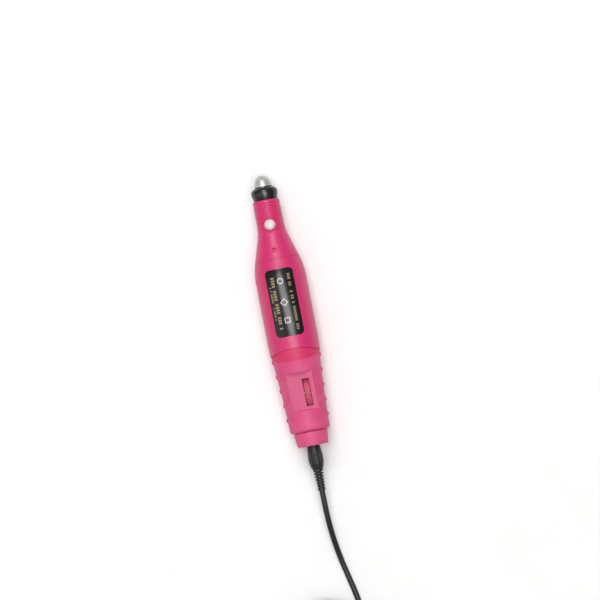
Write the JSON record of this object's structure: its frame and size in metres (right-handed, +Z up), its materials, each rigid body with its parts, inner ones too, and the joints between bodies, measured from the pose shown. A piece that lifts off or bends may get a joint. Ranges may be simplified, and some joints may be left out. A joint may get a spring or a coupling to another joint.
{
  "type": "electric nail drill",
  "caption": "Pen-type electric nail file with a collet, spindle lock button, sunken speed dial, plug-in lead and plug-in power supply.",
  "frame": {"origin": "on the surface the pen lies on, under the middle of the pen's length", "axes": "+Y along the pen towards its tip, +Z up, the side with the lock button, label and speed dial, +X to the right seen from above with the tip away"},
  "size_m": [0.0502, 0.3926, 0.0291],
  "materials": {
    "anodised_nut": "satin",
    "spindle_steel": "bright",
    "bearing_steel": "bright",
    "collar_black": "gloss",
    "housing_pink": "pearl gloss",
    "button_ivory": "gloss",
    "guide_nylon": "matt",
    "spring_steel": "bright",
    "coupling_rubber": "matt",
    "motor_zinc": "zinc plated",
    "bush_bronze": "sintered",
    "magnet_ferrite": "matt",
    "lamination_steel": "satin",
    "winding_copper": "enamelled",
    "bell_plastic": "matt",
    "contact_brass": "bright",
    "label_black": "gloss film",
    "cover_translucent": "translucent gloss",
    "panel_pink": "satin",
    "dial_pale": "satin",
    "board_fibre": "satin",
    "part_black": "matt",
    "lead_red": "satin",
    "lead_black": "satin",
    "plug_black": "satin",
    "plug_nickel": "bright",
    "cord_black": "satin",
    "tie_grey": "matt",
    "adapter_black": "fine grained"
  },
  "bodies": {
    "handpiece": {"front_bearing_outer_race": "bearing_steel", "front_bearing_balls": "bearing_steel", "rear_bearing_outer_race": "bearing_steel", "rear_bearing_balls": "bearing_steel", "nose_collar": "collar_black", "nose_housing": "housing_pink", "lock_guide": "guide_nylon", "lock_spring": "spring_steel", "motor_can": "motor_zinc", "motor_bushes": "bush_bronze", "motor_magnets": "magnet_ferrite", "motor_end_bell": "bell_plastic", "motor_brushes": "contact_brass", "motor_terminals": "contact_brass", "main_barrel": "housing_pink", "rating_label": "label_black", "rear_cover_upper": "cover_translucent", "rear_cover_lower": "cover_translucent", "cover_screws": "spring_steel", "panel_plate": "panel_pink", "potentiometer": "part_black", "circuit_board": "board_fibre", "capacitor": "part_black", "transistor": "part_black", "motor_lead_red": "lead_red", "motor_lead_black": "lead_black", "supply_lead_red": "lead_red", "supply_lead_black": "lead_black", "tail_cap": "housing_pink", "jack_body": "part_black", "jack_pin": "plug_nickel"},
    "rotor": {"spindle": "spindle_steel", "front_bearing_inner_race": "bearing_steel", "rear_bearing_inner_race": "bearing_steel", "shaft_coupling": "coupling_rubber", "motor_shaft": "spindle_steel", "armature_core": "lamination_steel", "armature_windings": "winding_copper", "commutator": "winding_copper"},
    "collet": {"collet": "spindle_steel"},
    "collet_nut": {"collet_nut": "anodised_nut"},
    "lock_button": {"lock_button": "button_ivory", "lock_pin": "spindle_steel"},
    "speed_dial": {"speed_dial": "dial_pale", "dial_shaft": "spindle_steel"},
    "power_lead": {"plug_grip": "plug_black", "plug_barrel": "plug_nickel", "plug_contact": "plug_nickel", "plug_strain_relief": "plug_black", "cord_run": "cord_black", "cord_coil": "cord_black", "coil_ties": "tie_grey", "cord_end": "cord_black", "adapter_case": "adapter_black", "adapter_pin_plate": "adapter_black", "adapter_pins": "plug_nickel", "adapter_strain_relief": "plug_black", "adapter_board": "board_fibre", "adapter_transformer": "contact_brass"}
  },
  "joints": [
    {"name": "spindle_spin", "type": "hinge", "parent": "handpiece", "child": "rotor", "pos_m": [0, 0, 0.0145], "axis": [0, 1, 0], "continuous": true},
    {"name": "collet_nut_turn", "type": "hinge", "parent": "collet", "child": "collet_nut", "pos_m": [0, 0, 0.0145], "axis": [0, 1, 0], "range_deg": [0, 270]},
    {"name": "collet_slide", "type": "slide", "parent": "rotor", "child": "collet", "axis": [0, 1, 0], "range_m": [0, 0.00056]},
    {"name": "lock_button_press", "type": "slide", "parent": "handpiece", "child": "lock_button", "axis": [0, 0, -1], "range_m": [0, 0.0012], "stiffness_N_per_m": 400, "springref_m": -0.001, "deforming": ["lock_spring"]},
    {"name": "speed_dial_turn", "type": "hinge", "parent": "handpiece", "child": "speed_dial", "pos_m": [0.0031, -0.0476, 0.0151], "axis": [1, 0, 0], "range_deg": [0, 270]},
    {"name": "plug_pull", "type": "slide", "parent": "handpiece", "child": "power_lead", "axis": [0, -1, 0], "range_m": [0, 0.0095]}
  ],
  "couplings": [
    {"joint": "collet_nut_turn", "follows": "collet_slide", "rad_per_m": 8377.6}
  ]
}
